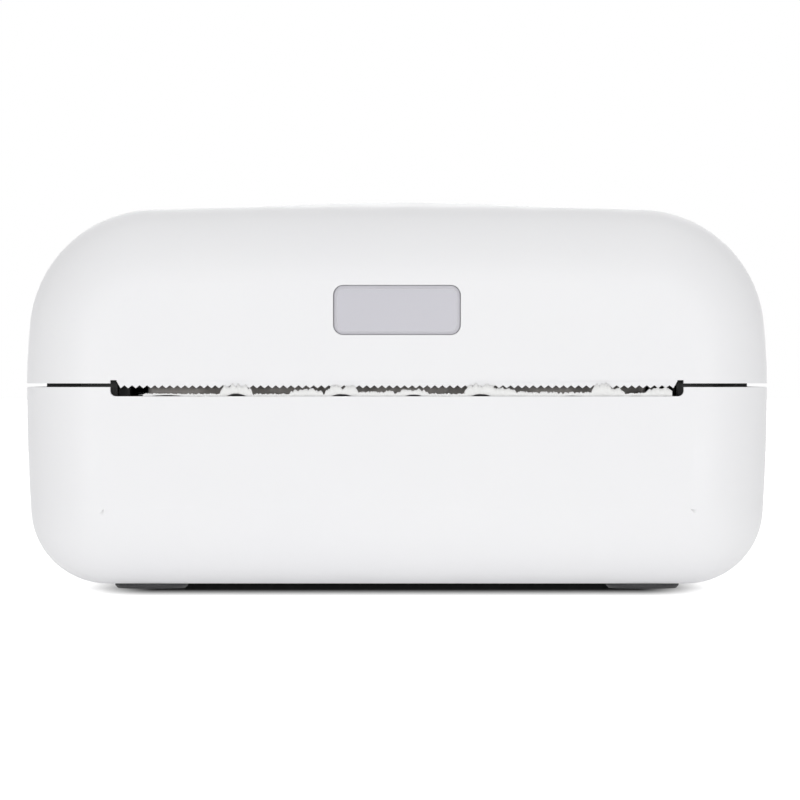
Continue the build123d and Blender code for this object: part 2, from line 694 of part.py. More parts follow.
with BuildPart() as power_button:
    with BuildSketch(Plane.XZ.offset(-37.3)):
        with Locations((-16, 7.4)):
            RectangleRounded(7.0, 3.0, 1.0)
    extrude(amount=-2.9)
    chamfer(power_button.faces().sort_by(Axis.Y)[-1].edges(), length=0.3)
    with BuildSketch(Plane.XZ.offset(-36.9)):
        with Locations((-16, 7.4)):
            RectangleRounded(8.6, 3.6, 1.0)
    extrude(amount=-0.5)
power_button.part.label = "power_button"
export_step(power_button.part, "parts/power_button.step")

with BuildPart() as battery_pack:
    with BuildSketch(Plane.YZ.offset(-23.8)):
        with Locations((28.85, 14.3)):
            RectangleRounded(13.5, 10.6, 2.4)
    extrude(amount=47.6)
    chamfer(battery_pack.faces().filter_by(Axis.X).edges(), length=0.5)
battery_pack.part.label = "battery_pack"
export_step(battery_pack.part, "parts/battery_pack.step")

with BuildPart() as battery_leads:
    for y in (23.7, 25.4):
        with BuildLine() as lead_path:
            Polyline((-23.85, y, 10.4), (-26.4, y - 0.3, 10.3), (-28.6, y - 1.8, 9.5),
                     (-29.8, y - 3.6, 8.8), (-30.0, y - 4.2, 8.1))
        with BuildSketch(Plane(lead_path.line @ 0, z_dir=lead_path.line % 0)):
            RegularPolygon(0.45, 6)
        sweep(transition=Transition.RIGHT)
battery_leads.part.label = "battery_leads"
export_step(battery_leads.part, "parts/battery_leads.step")

# Cover liner: the plate under the cover that holds the platen, ribs and spring seats.
with BuildPart() as cover_liner:
    with BuildSketch(Plane.XY.offset(31.0)):
        with Locations((0, -23.2)):
            RectangleRounded(68, 21.4, 1.5)
        with Locations((-14, -32.6), (14, -32.6)):
            Rectangle(5.2, 2.8, mode=Mode.SUBTRACT)
        with Locations((-24, -28), (24, -28), (-24, -15), (24, -15)):
            Circle(0.9, mode=Mode.SUBTRACT)
        with Locations((0, -20)):
            SlotOverall(22, 6, mode=Mode.SUBTRACT)
    extrude(amount=1.4)
    for side in (-1, 1):
        add(block(*sorted((side * 11.4, side * 16.6)), -31.2, -30.0, 29.6, 32.6))
        add(block(*sorted((side * 27.6, side * 28.8)), -33.4, -28.6, 22.0, 31.2))
        add(rod(*sorted((side * 27.0, side * 29.4)), platen_y, platen_z, 2.2), mode=Mode.SUBTRACT)
    for x in (-19, -8, 8, 19):
        with BuildSketch(Plane.YZ.offset(x - 0.6)):
            with BuildLine():
                Polyline((-25.9, 31.2), (-25.4, 23.2), (-23.6, 21.7), (-15.4, 21.7), (-14.2, 25.0),
                         (-13.4, 31.2), close=True)
            make_face()
        extrude(amount=1.2)
cover_liner.part.label = "cover_liner"
export_step(cover_liner.part, "parts/cover_liner.step")

with BuildPart() as cover_screws:
    for side in (-1, 1):
        for y in (-28, -15):
            add(screw(side * 24, y, 30.1, 1, 6.5))
cover_screws.part.label = "cover_screws"
export_step(cover_screws.part, "parts/cover_screws.step")

# Tear strip: a comb of fine teeth under a bar, with a flange behind the cover wall.
first_tip = -tooth_pitch * tooth_count / 2
comb_points = [(-30.4, strip_pocket_z - 0.05)]
for tooth in range(tooth_count + 1):
    tip_x = first_tip + tooth * tooth_pitch
    if tooth:
        comb_points.append((tip_x - tooth_pitch / 2, tooth_root_z))
    comb_points.append((tip_x, tooth_tip_z))
comb_points.append((30.4, strip_pocket_z - 0.05))
with BuildPart() as tear_strip:
    with BuildSketch(Plane.XZ.offset(comb_front)):
        with BuildLine():
            Polyline(*comb_points, close=True)
        make_face()
    extrude(amount=-0.7)
    add(block(-30.2, 30.2, -39.7, -38.0, 22.36, strip_pocket_z - 0.05))
    add(block(-30.2, 30.2, -38.65, -38.0, 22.36, 25.4))
tear_strip.part.label = "tear_strip"
export_step(tear_strip.part, "parts/tear_strip.step")

# Release key and the latch bar behind it: two legs with hooks that catch the frame rim.
key_z = (key_z0 + key_z1) / 2
with BuildPart() as release_button:
    with BuildSketch(Plane.XZ.offset(38.4)):
        with Locations((0, key_z)):
            RectangleRounded(2 * key_half, key_z1 - key_z0, key_corner)
    extrude(amount=1.95)
    chamfer(release_button.faces().sort_by(Axis.Y)[0].edges(), length=0.4)
    with BuildSketch(Plane.XZ.offset(38.4)):
        with Locations((0, key_z)):
            RectangleRounded(2 * key_half + 1.6, key_z1 - key_z0 + 1.4, key_corner)
    extrude(amount=-0.5)
    add(block(-5, 5, -38.0, -36.65, 29.2, 31.8))
release_button.part.label = "release_button"
export_step(release_button.part, "parts/release_button.step")

with BuildPart() as latch_slider:
    add(block(-32.0, 32.0, -36.6, -35.4, 28.6, 32.3))
    for side in (-1, 1):
        with BuildSketch(Plane.YZ.offset(side * 31.35)):
            with BuildLine():
                Polyline((-35.4, 32.3), (-36.6, 32.3), (-36.6, 19.0), (-37.6, 19.0),
                         (-37.6, 18.4), (-36.8, 17.5), (-35.4, 17.5), close=True)
            make_face()
        extrude(amount=0.65, both=True)
        with BuildSketch(Plane.XZ.offset(35.5)):
            with Locations((side * 14, 31.0)):
                Circle(0.85)
        extrude(amount=-0.9)
latch_slider.part.label = "latch_slider"
export_step(latch_slider.part, "parts/latch_slider.step")

with BuildPart() as latch_springs:
    for x in (-14, 14):
        add(coil(1.3, 0.3, 4.1, 4).moved(Location((x, -35.35, 31.0), (-90, 0, 0))))
latch_springs.part.label = "latch_springs"
export_step(latch_springs.part, "parts/latch_springs.step")
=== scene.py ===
# A pocket thermal printer seen square from the front, closed, with a torn end of paper in
# its slot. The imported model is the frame; each section below dresses one piece of it, from
# the floor it stands on to the latch in its cover. Lengths are in metres.
import math
import random

import bmesh
import bpy
from mathutils import Matrix, Vector


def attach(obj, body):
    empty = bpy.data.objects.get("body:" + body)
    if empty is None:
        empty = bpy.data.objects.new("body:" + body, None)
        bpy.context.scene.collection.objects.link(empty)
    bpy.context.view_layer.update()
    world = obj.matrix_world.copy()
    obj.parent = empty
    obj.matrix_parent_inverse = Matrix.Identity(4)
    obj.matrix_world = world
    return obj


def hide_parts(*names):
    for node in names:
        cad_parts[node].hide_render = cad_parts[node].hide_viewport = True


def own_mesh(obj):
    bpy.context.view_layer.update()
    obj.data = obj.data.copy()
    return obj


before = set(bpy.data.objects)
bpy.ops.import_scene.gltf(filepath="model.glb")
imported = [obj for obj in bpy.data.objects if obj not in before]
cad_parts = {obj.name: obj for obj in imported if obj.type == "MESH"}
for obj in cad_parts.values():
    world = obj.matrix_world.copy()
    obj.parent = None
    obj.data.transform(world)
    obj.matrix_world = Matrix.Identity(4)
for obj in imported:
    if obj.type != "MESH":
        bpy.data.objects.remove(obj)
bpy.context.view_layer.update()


# The camera: a long lens 1 mm above the seam, so that the gap between the halves is seen
# nearly straight through at its ends. The front of the case stands 0.75 m away and the
# picture is 86.6 mm wide there.
front_y = -0.0405
stand_off = 0.75
picture_width = 0.0866
film_width = 36.0
eye_x, eye_z = 0.00033, 0.0233
eye = bpy.data.cameras.new("eye")
eye.sensor_width = film_width
eye.lens = film_width * stand_off / picture_width
eye.shift_y = -0.030
eye.clip_start, eye.clip_end = 0.01, 50.0
camera = bpy.data.objects.new("camera", eye)
camera.location = (eye_x, front_y - stand_off, eye_z)
camera.rotation_euler = (math.pi / 2, 0, 0)
bpy.context.collection.objects.link(camera)
bpy.context.scene.camera = camera
bpy.context.scene.view_settings.view_transform = "Standard"


# The lamps: two small soft boxes low beside the camera, and large ones overhead and behind,
# as round a still-life table. The low ones shine into the slot; no highlight is hard.
def lamp(name, power, size, place, aim):
    """A square soft box at place, turned towards aim."""
    light = bpy.data.lights.new(name, "AREA")
    light.energy = power
    light.size = size
    box = bpy.data.objects.new(name, light)
    box.location = place
    box.rotation_euler = (Vector(aim) - Vector(place)).to_track_quat("-Z", "Y").to_euler()
    bpy.context.collection.objects.link(box)


lamp("soft_box_left", power=2.0, size=0.1, place=(-0.4, -1.15, 0.052), aim=(0, 0, 0.02))
lamp("soft_box_right", power=2.0, size=0.1, place=(0.4, -1.15, 0.052), aim=(0, 0, 0.02))
lamp("soft_box_top", power=1.2, size=0.9, place=(0, 0.1, 1.1), aim=(0, 0, 0))
lamp("soft_box_back", power=3.4, size=0.9, place=(0, 1.25, 0.35), aim=(0, 0, 0.02))


# The room: white all round, and bright only to the camera and in reflections.
def add(tree, kind, inputs=None, **settings):
    """One node of this kind. inputs maps a socket's name or place to its value, or to the
    output that it is fed by."""
    made = tree.nodes.new(kind)
    for setting, value in settings.items():
        setattr(made, setting, value)
    for socket, value in (inputs or {}).items():
        if isinstance(value, bpy.types.NodeSocket):
            tree.links.new(value, made.inputs[socket])
        else:
            made.inputs[socket].default_value = value
    return made


def linear(code):
    """A hex sRGB colour as linear red, green, blue and alpha."""
    parts = [int(code[i:i + 2], 16) / 255 for i in (1, 3, 5)]
    return [p / 12.92 if p <= 0.04045 else ((p + 0.055) / 1.055) ** 2.4 for p in parts] + [1.0]


world = bpy.data.worlds.new("white_room")
world.use_nodes = True
room = world.node_tree
room.nodes.clear()
ray = add(room, "ShaderNodeLightPath")
seen = add(room, "ShaderNodeMath", {0: ray.outputs["Is Camera Ray"],
                                    1: ray.outputs["Is Glossy Ray"]}, operation="MAXIMUM")
seen = add(room, "ShaderNodeMath", {0: seen.outputs[0], 1: ray.outputs["Is Transmission Ray"]},
           operation="MAXIMUM")
fill_light = add(room, "ShaderNodeBackground", {"Color": linear("#FFFFFF"), "Strength": 0.58})
backdrop = add(room, "ShaderNodeBackground", {"Color": linear("#FFFFFF"), "Strength": 1.0})
either = add(room, "ShaderNodeMixShader", {0: seen.outputs[0], 1: fill_light.outputs[0],
                                           2: backdrop.outputs[0]})
add(room, "ShaderNodeOutputWorld", {"Surface": either.outputs[0]})
bpy.context.scene.world = world


# The floor: an opal sheet with a faint glow of its own, as a still-life table has. The
# camera sees it white away from the case. Below and round the case it sees a contact shadow painted
# into the floor's colour and glow by distance from the case. The painted shadow is dark out to the
# first of each pair of places and gone by the second.
side_dark, side_clear = 0.026, 0.038
front_dark, front_clear = -0.033, -0.072
back_dark, back_clear = 0.033, 0.048
own_glow, mirrored_glow = 0.13, 0.75
floor_reach = 6.0
floor_mesh = bpy.data.meshes.new("floor")
sheet = bmesh.new()
bmesh.ops.create_grid(sheet, x_segments=1, y_segments=1, size=floor_reach)
sheet.to_mesh(floor_mesh)
sheet.free()
floor = bpy.data.objects.new("floor", floor_mesh)
bpy.context.collection.objects.link(floor)

opal = bpy.data.materials.new("opal_acrylic_sheet")
opal.use_nodes = True
tree = opal.node_tree
tree.nodes.clear()
here = add(tree, "ShaderNodeTexCoord").outputs["Object"]
axis = add(tree, "ShaderNodeSeparateXYZ", {"Vector": here})
across = add(tree, "ShaderNodeMath", {0: axis.outputs["X"]}, operation="ABSOLUTE")
beside = add(tree, "ShaderNodeMapRange", {"Value": across.outputs[0], "From Min": side_dark,
                                          "From Max": side_clear})
before = add(tree, "ShaderNodeMapRange", {"Value": axis.outputs["Y"], "From Min": front_dark,
                                          "From Max": front_clear})
behind = add(tree, "ShaderNodeMapRange", {"Value": axis.outputs["Y"], "From Min": back_dark,
                                          "From Max": back_clear})
along = add(tree, "ShaderNodeMath", {0: before.outputs[0], 1: behind.outputs[0]},
            operation="MAXIMUM")
out = add(tree, "ShaderNodeCombineXYZ", {"X": beside.outputs[0], "Y": along.outputs[0]})
reach = add(tree, "ShaderNodeVectorMath", {0: out.outputs[0]}, operation="LENGTH")
# clear is 0 where the contact shadow is painted and 1 away from the case; near the case the camera sees
# no glow.
clear = add(tree, "ShaderNodeMapRange", {"Value": reach.outputs["Value"]},
            interpolation_type="SMOOTHSTEP")
ray = add(tree, "ShaderNodeLightPath")
seen = add(tree, "ShaderNodeMath", {0: ray.outputs["Is Camera Ray"], 1: clear.outputs[0]},
           operation="MULTIPLY")
unseen = add(tree, "ShaderNodeMath", {0: 1.0, 1: ray.outputs["Is Camera Ray"]},
             operation="SUBTRACT")
faint = add(tree, "ShaderNodeMapRange", {"Value": ray.outputs["Is Glossy Ray"],
                                         "To Min": own_glow, "To Max": mirrored_glow})
bright = add(tree, "ShaderNodeMath", {0: unseen.outputs[0], 1: faint.outputs[0],
                                      2: seen.outputs[0]}, operation="MULTIPLY_ADD")
glow = add(tree, "ShaderNodeEmission", {"Color": linear("#FFFFFF"), "Strength": bright.outputs[0]})
# Painted shadow: for the camera only, the floor's colour is darkened towards #2C2C2C near the case.
shade = add(tree, "ShaderNodeMath", {0: 1.0, 1: clear.outputs[0]}, operation="SUBTRACT")
shade = add(tree, "ShaderNodeMath", {0: shade.outputs[0], 1: ray.outputs["Is Camera Ray"]},
            operation="MULTIPLY")
tone = add(tree, "ShaderNodeMix", {0: shade.outputs[0], 6: linear("#F4F4F4"), 7: linear("#2C2C2C")},
           data_type="RGBA")
matt = add(tree, "ShaderNodeBsdfDiffuse", {"Color": tone.outputs[2]})
both = add(tree, "ShaderNodeAddShader", {0: matt.outputs[0], 1: glow.outputs[0]})
add(tree, "ShaderNodeOutputMaterial", {"Surface": both.outputs[0]})
floor_mesh.materials.append(opal)


# The base: the lower half of the case, moulded in white ABS in a tool with a satin wall.
# The eye gets an even white with a soft sheen, and a grain only close by.
def surface(name, **sockets):
    """A new material, its tree, its main shader with these sockets set, and Object coordinates."""
    made = bpy.data.materials.new(name)
    made.use_nodes = True
    shader = made.node_tree.nodes["Principled BSDF"]
    for socket, value in sockets.items():
        shader.inputs[socket.replace("_", " ")].default_value = value
    place = add(made.node_tree, "ShaderNodeTexCoord").outputs["Object"]
    return made, made.node_tree, shader, place


def moulded(name, pale, deep, rough, grain, relief, ior=1.53):
    """A moulded plastic: its tone drifts a little with the flow of the melt, and its skin has
    the tool's grain, as wide and as deep as grain and relief say."""
    made, tree, shader, place = surface(name, IOR=ior)
    drift = add(tree, "ShaderNodeTexNoise", {"Vector": place, "Scale": 60.0, "Detail": 3.0})
    tone = add(tree, "ShaderNodeMix", {0: drift.outputs["Fac"], 6: linear(deep), 7: linear(pale)},
               data_type="RGBA")
    tree.links.new(tone.outputs[2], shader.inputs["Base Color"])
    rub = add(tree, "ShaderNodeTexNoise", {"Vector": place, "Scale": 240.0, "Detail": 4.0})
    gloss = add(tree, "ShaderNodeMapRange", {"Value": rub.outputs["Fac"],
                                             "From Min": 0.3, "From Max": 0.7,
                                             "To Min": rough - 0.05, "To Max": rough + 0.05})
    tree.links.new(gloss.outputs[0], shader.inputs["Roughness"])
    pits = add(tree, "ShaderNodeTexNoise", {"Vector": place, "Scale": 1 / grain, "Detail": 2.0})
    waves = add(tree, "ShaderNodeTexNoise", {"Vector": place, "Scale": 0.08 / grain, "Detail": 1.0})
    height = add(tree, "ShaderNodeMath", {0: waves.outputs["Fac"], 1: 2.5, 2: pits.outputs["Fac"]},
                 operation="MULTIPLY_ADD")
    bump = add(tree, "ShaderNodeBump", {"Height": height.outputs[0], "Distance": relief,
                                        "Strength": 1.0})
    tree.links.new(bump.outputs[0], shader.inputs["Normal"])
    return made


def dress(node, material):
    """Gives a node of the frame its material."""
    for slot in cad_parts[node].material_slots:
        slot.material = material


white_abs = moulded("satin_white_abs", "#F4F4F5", "#F1F1F3",
                    rough=0.5, grain=0.00018, relief=0.0000006)
dress("base_shell", white_abs)
dress("cover_shell", white_abs)


# The feet: four pads of grey thermoplastic rubber glued in round recesses. They are matt and
# a little dusty.
dress("rubber_feet", moulded("thermoplastic_rubber", "#4A4A4C", "#3C3C3E",
                             rough=0.75, grain=0.0003, relief=0.000004, ior=1.5))


# The screws: black-zinc steel, cold headed. Two in the base are hidden by the rear feet, four
# hold the liner in the cover and two hold the print mechanism. The plating drifts faintly.
def worked(name, pale, deep, rough, lines, relief, **sockets):
    """A metal with fine lines; lines is how many there are to a metre along X, Y and Z."""
    made, tree, shader, place = surface(name, Metallic=1.0, **sockets)
    turned = add(tree, "ShaderNodeMapping", {"Vector": place, "Scale": lines})
    marks = add(tree, "ShaderNodeTexNoise", {"Vector": turned.outputs[0], "Scale": 1.0, "Detail": 3.0})
    tone = add(tree, "ShaderNodeMix", {0: marks.outputs["Fac"], 6: linear(deep), 7: linear(pale)},
               data_type="RGBA")
    tree.links.new(tone.outputs[2], shader.inputs["Base Color"])
    gloss = add(tree, "ShaderNodeMapRange", {"Value": marks.outputs["Fac"],
                                             "From Min": 0.25, "From Max": 0.75,
                                             "To Min": rough - 0.06, "To Max": rough + 0.08})
    tree.links.new(gloss.outputs[0], shader.inputs["Roughness"])
    bump = add(tree, "ShaderNodeBump", {"Height": marks.outputs["Fac"], "Distance": relief,
                                        "Strength": 1.0})
    tree.links.new(bump.outputs[0], shader.inputs["Normal"])
    return made


black_zinc = worked("black_zinc_steel", "#6A6A70", "#4C4C52",
                    rough=0.38, lines=(900, 900, 900), relief=0.000002)
for node in ("base_screws", "cover_screws", "mechanism_screws"):
    dress(node, black_zinc)


# The inner frame and the cover's liner: black ABS with a fine spark-eroded grain, so that
# the opened case shows no glare round the paper.
black_abs = moulded("fine_grained_black_abs", "#0D0D0D", "#080808",
                    rough=0.62, grain=0.00016, relief=0.000003)
dress("inner_frame", black_abs)
dress("cover_liner", black_abs)


# The main board: glass-epoxy laminate 1 mm thick under green solder mask. Copper runs show
# through the mask as lighter lines in relief.
mask, tree, shader, place = surface("solder_mask_on_fr4", IOR=1.56, Roughness=0.28)
split = add(tree, "ShaderNodeTexVoronoi", {"Vector": place, "Scale": 160.0}, distance="CHEBYCHEV")
pick = add(tree, "ShaderNodeSeparateColor", {"Color": split.outputs["Color"]})
which = add(tree, "ShaderNodeMath", {0: pick.outputs[0], 1: 0.5}, operation="GREATER_THAN")
runs_x = add(tree, "ShaderNodeTexWave", {"Vector": place, "Scale": 520.0}, bands_direction="X")
runs_y = add(tree, "ShaderNodeTexWave", {"Vector": place, "Scale": 520.0}, bands_direction="Y")
runs = add(tree, "ShaderNodeMix", {0: which.outputs[0], 2: runs_x.outputs["Fac"],
                                   3: runs_y.outputs["Fac"]})
copper = add(tree, "ShaderNodeMapRange", {"Value": runs.outputs[0], "From Min": 0.45,
                                          "From Max": 0.6})
tone = add(tree, "ShaderNodeMix", {0: copper.outputs[0], 6: linear("#12492B"), 7: linear("#1F6E41")},
           data_type="RGBA")
tree.links.new(tone.outputs[2], shader.inputs["Base Color"])
bump = add(tree, "ShaderNodeBump", {"Height": copper.outputs[0], "Distance": 0.00003,
                                    "Strength": 1.0})
tree.links.new(bump.outputs[0], shader.inputs["Normal"])
dress("main_board", mask)


# The parts on the board: transfer-moulded black epoxy, matt with a sandy skin. The switches
# have the same bodies.
chip_epoxy = moulded("moulded_epoxy", "#262628", "#1C1C1E",
                     rough=0.6, grain=0.00012, relief=0.000003, ior=1.55)
dress("board_parts", chip_epoxy)
dress("tact_switches", chip_epoxy)


# The charging socket: a drawn stainless shell, bright, with fine draw lines front to back.
dress("usb_socket", worked("drawn_stainless_steel", "#CFCFD0", "#B2B2B4",
                           rough=0.24, lines=(9000, 250, 9000), relief=0.000001))


# The light pipe: clear acrylic. It is polished, with faint flow lines inside.
acrylic, tree, shader, place = surface("clear_acrylic", IOR=1.49, Transmission_Weight=1.0,
                                       Roughness=0.06, Base_Color=linear("#F2F6F8"))
flow = add(tree, "ShaderNodeTexNoise", {"Vector": place, "Scale": 900.0, "Detail": 2.0})
bump = add(tree, "ShaderNodeBump", {"Height": flow.outputs["Fac"], "Distance": 0.000004,
                                    "Strength": 1.0})
tree.links.new(bump.outputs[0], shader.inputs["Normal"])
dress("light_pipe", acrylic)


# The power key at the back: a cap moulded in lavender grey ABS with a satin skin, held by a
# flange behind the wall.
dress("power_button", moulded("satin_grey_abs", "#CDCCD3", "#C8C7CE",
                              rough=0.42, grain=0.00018, relief=0.0000008))


# The cover release on the front: a wide key in the same grey ABS. Its bevelled edge has a
# painted highlight: its colour is paler, as wide as the bevel all round.
key_middle = 0.03045
key_half_width, key_half_height, key_corner = 0.00685, 0.00265, 0.00105
key_bevel = 0.0004
highlight_fade = 0.00003
edge_highlight_abs = moulded("satin_grey_abs_painted_edge_highlight", "#CDCCD3", "#C8C7CE",
                     rough=0.42, grain=0.00018, relief=0.0000008)
tree = edge_highlight_abs.node_tree
shader = tree.nodes["Principled BSDF"]
face_tone = shader.inputs["Base Color"].links[0].from_socket
place = add(tree, "ShaderNodeTexCoord").outputs["Object"]
centred = add(tree, "ShaderNodeMapping", {"Vector": place, "Location": (0, 0, -key_middle),
                                          "Scale": (1, 0, 1)})
corner_centre = (key_half_width - key_corner, 0, key_half_height - key_corner)
out = add(tree, "ShaderNodeVectorMath", {0: centred.outputs[0]}, operation="ABSOLUTE")
out = add(tree, "ShaderNodeVectorMath", {0: out.outputs[0], 1: corner_centre},
          operation="SUBTRACT")
out = add(tree, "ShaderNodeVectorMath", {0: out.outputs[0], 1: (0, 0, 0)}, operation="MAXIMUM")
out = add(tree, "ShaderNodeVectorMath", {0: out.outputs[0]}, operation="LENGTH")
# This mask and the paler colour #DCDBE0 paint a highlight along the bevel all round the key.
edge = add(tree, "ShaderNodeMapRange", {"Value": out.outputs["Value"],
                                        "From Min": key_corner - key_bevel - highlight_fade,
                                        "From Max": key_corner - key_bevel + highlight_fade})
tone = add(tree, "ShaderNodeMix", {0: edge.outputs[0], 6: face_tone, 7: linear("#DCDBE0")},
           data_type="RGBA")
tree.links.new(tone.outputs[2], shader.inputs["Base Color"])
dress("release_button", edge_highlight_abs)


# The key's collar: a thin ring of the cover's white ABS that lines the window, pressed in
# from behind, so that only a hair line is left round the key.
collar_front, collar_depth, collar_wall = -0.040497, 0.0015, 0.00016
collar_reach = 0.00022
bm = bmesh.new()
outline = bmesh.ops.create_grid(bm, x_segments=1, y_segments=1, size=0.5)["verts"]
bmesh.ops.scale(bm, verts=outline, vec=(2 * (key_half_width + collar_reach),
                                        2 * (key_half_height + collar_reach), 1))
bmesh.ops.rotate(bm, verts=outline, cent=(0, 0, 0), matrix=Matrix.Rotation(math.pi / 2, 3, "X"))
bmesh.ops.translate(bm, verts=outline, vec=(0, collar_front, key_middle))
bmesh.ops.bevel(bm, geom=bm.verts[:], offset=key_corner + collar_reach, affect="VERTICES",
                segments=10, profile=0.5, material=-1)
ring = bmesh.ops.inset_region(bm, faces=bm.faces[:], thickness=collar_wall, use_boundary=True,
                              use_even_offset=True)["faces"]
bmesh.ops.delete(bm, geom=[face for face in bm.faces if face not in ring], context="FACES")
pushed = bmesh.ops.extrude_face_region(bm, geom=bm.faces[:])["geom"]
bmesh.ops.translate(bm, verts=[item for item in pushed if isinstance(item, bmesh.types.BMVert)],
                    vec=(0, collar_depth, 0))
bmesh.ops.recalc_face_normals(bm, faces=bm.faces[:])
mesh = bpy.data.meshes.new("key_collar")
bm.to_mesh(mesh)
bm.free()
mesh.materials.append(white_abs)
key_collar = bpy.data.objects.new("key_collar", mesh)
bpy.context.collection.objects.link(key_collar)
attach(key_collar, "cover")


# The cell: a lithium pouch in aluminium laminate. The foil is dull, with shallow dents where
# it was pressed.
foil, tree, shader, place = surface("aluminium_laminate_foil", Metallic=0.85, Roughness=0.34)
dents = add(tree, "ShaderNodeTexNoise", {"Vector": place, "Scale": 130.0, "Detail": 3.0})
weave = add(tree, "ShaderNodeTexNoise", {"Vector": place, "Scale": 4200.0, "Detail": 1.0})
tone = add(tree, "ShaderNodeMix", {0: dents.outputs["Fac"], 6: linear("#B4B6B9"), 7: linear("#CACCCE")},
           data_type="RGBA")
tree.links.new(tone.outputs[2], shader.inputs["Base Color"])
height = add(tree, "ShaderNodeMath", {0: dents.outputs["Fac"], 1: 14.0, 2: weave.outputs["Fac"]},
             operation="MULTIPLY_ADD")
bump = add(tree, "ShaderNodeBump", {"Height": height.outputs[0], "Distance": 0.000006,
                                    "Strength": 1.0})
tree.links.new(bump.outputs[0], shader.inputs["Normal"])
dress("battery_pack", foil)


# The cell's leads: stranded wire in red PVC, semi-gloss.
dress("battery_leads", moulded("pvc_insulation", "#A8201C", "#8E1A17",
                               rough=0.4, grain=0.0002, relief=0.000002, ior=1.54))


# The mechanism's chassis and the motor's can: zinc-plated sheet steel, blanked and folded.
# The plating breaks into dull spangles a millimetre or two across.
zinc, tree, shader, place = surface("zinc_plated_steel", Metallic=1.0)
spangle = add(tree, "ShaderNodeTexVoronoi", {"Vector": place, "Scale": 700.0})
grain = add(tree, "ShaderNodeSeparateColor", {"Color": spangle.outputs["Color"]})
tone = add(tree, "ShaderNodeMix", {0: grain.outputs[0], 6: linear("#B9BBBC"), 7: linear("#CDCECF")},
           data_type="RGBA")
tree.links.new(tone.outputs[2], shader.inputs["Base Color"])
gloss = add(tree, "ShaderNodeMapRange", {"Value": grain.outputs[1], "To Min": 0.26, "To Max": 0.42})
tree.links.new(gloss.outputs[0], shader.inputs["Roughness"])
skin = add(tree, "ShaderNodeTexNoise", {"Vector": place, "Scale": 2600.0, "Detail": 3.0})
bump = add(tree, "ShaderNodeBump", {"Height": skin.outputs["Fac"], "Distance": 0.000003,
                                    "Strength": 1.0})
tree.links.new(bump.outputs[0], shader.inputs["Normal"])
dress("mechanism_chassis", zinc)
dress("motor_body", zinc)


# Shafts and pins: steel ground between wheels, bright, with rings too fine to see but for a
# slight streak; they are drawn 0.05 mm apart.
ground_steel = worked("ground_steel", "#C9C9CB", "#ABABAE",
                      rough=0.22, lines=(20000, 400, 400), relief=0.0000008)
for node in ("motor_shaft", "idler_axle", "platen_shaft", "head_pivot_pin", "hinge_pin"):
    dress(node, ground_steel)


# The gears: the motor's pinion is turned and hobbed in brass, the idler and the platen gear
# are moulded in natural acetal, which is milky and slightly translucent.
dress("motor_pinion", worked("hobbed_brass", "#D9B36A", "#BC934C",
                             rough=0.26, lines=(16000, 900, 900), relief=0.000001))
acetal, tree, shader, place = surface("natural_acetal", IOR=1.48, Subsurface_Weight=0.25,
                                      Subsurface_Scale=0.0006,
                                      Subsurface_Radius=(1.0, 0.9, 0.75))
cloud = add(tree, "ShaderNodeTexNoise", {"Vector": place, "Scale": 300.0, "Detail": 3.0})
tone = add(tree, "ShaderNodeMix", {0: cloud.outputs["Fac"], 6: linear("#DAD7CB"), 7: linear("#E8E6DC")},
           data_type="RGBA")
tree.links.new(tone.outputs[2], shader.inputs["Base Color"])
gloss = add(tree, "ShaderNodeMapRange", {"Value": cloud.outputs["Fac"], "To Min": 0.34, "To Max": 0.5})
tree.links.new(gloss.outputs[0], shader.inputs["Roughness"])
bump = add(tree, "ShaderNodeBump", {"Height": cloud.outputs["Fac"], "Distance": 0.000008,
                                    "Strength": 1.0})
tree.links.new(bump.outputs[0], shader.inputs["Normal"])
dress("idler_gear", acetal)
dress("platen_gear", acetal)


# The print head: a milled aluminium bar that carries a strip of glazed ceramic. The heater
# line is a raised ridge of glass across it, browner than the glaze round it.
heater_y = -0.031
ridge_foot, ridge_crest = 0.0007, 0.0005
dress("head_heat_sink", worked("milled_aluminium", "#D5D6D8", "#BDBEC1",
                               rough=0.3, lines=(250, 7000, 7000), relief=0.0000015))
ceramic, tree, shader, place = surface("glazed_alumina", IOR=1.6, Coat_Weight=0.5, Coat_Roughness=0.05)
axis = add(tree, "ShaderNodeSeparateXYZ", {"Vector": place})
offset = add(tree, "ShaderNodeMath", {0: axis.outputs["Y"], 1: -heater_y}, operation="ADD")
offset = add(tree, "ShaderNodeMath", {0: offset.outputs[0]}, operation="ABSOLUTE")
ridge = add(tree, "ShaderNodeMapRange", {"Value": offset.outputs[0], "From Min": ridge_foot,
                                         "From Max": ridge_crest})
wires = add(tree, "ShaderNodeTexWave", {"Vector": place, "Scale": 1250.0}, bands_direction="X")
film = add(tree, "ShaderNodeMix", {0: wires.outputs["Fac"], 6: linear("#C9C2B0"), 7: linear("#A79D86")},
           data_type="RGBA")
tone = add(tree, "ShaderNodeMix", {0: ridge.outputs[0], 6: film.outputs[2], 7: linear("#5B4334")},
           data_type="RGBA")
tree.links.new(tone.outputs[2], shader.inputs["Base Color"])
haze = add(tree, "ShaderNodeTexNoise", {"Vector": place, "Scale": 500.0, "Detail": 3.0})
gloss = add(tree, "ShaderNodeMapRange", {"Value": haze.outputs["Fac"], "To Min": 0.1, "To Max": 0.26})
tree.links.new(gloss.outputs[0], shader.inputs["Roughness"])
dress("thermal_head", ceramic)


# The driver cover: black epoxy poured over the driver chips, glossy and slightly wavy.
dress("head_driver_cover", moulded("poured_epoxy", "#161617", "#101011",
                                   rough=0.16, grain=0.0009, relief=0.00001, ior=1.55))


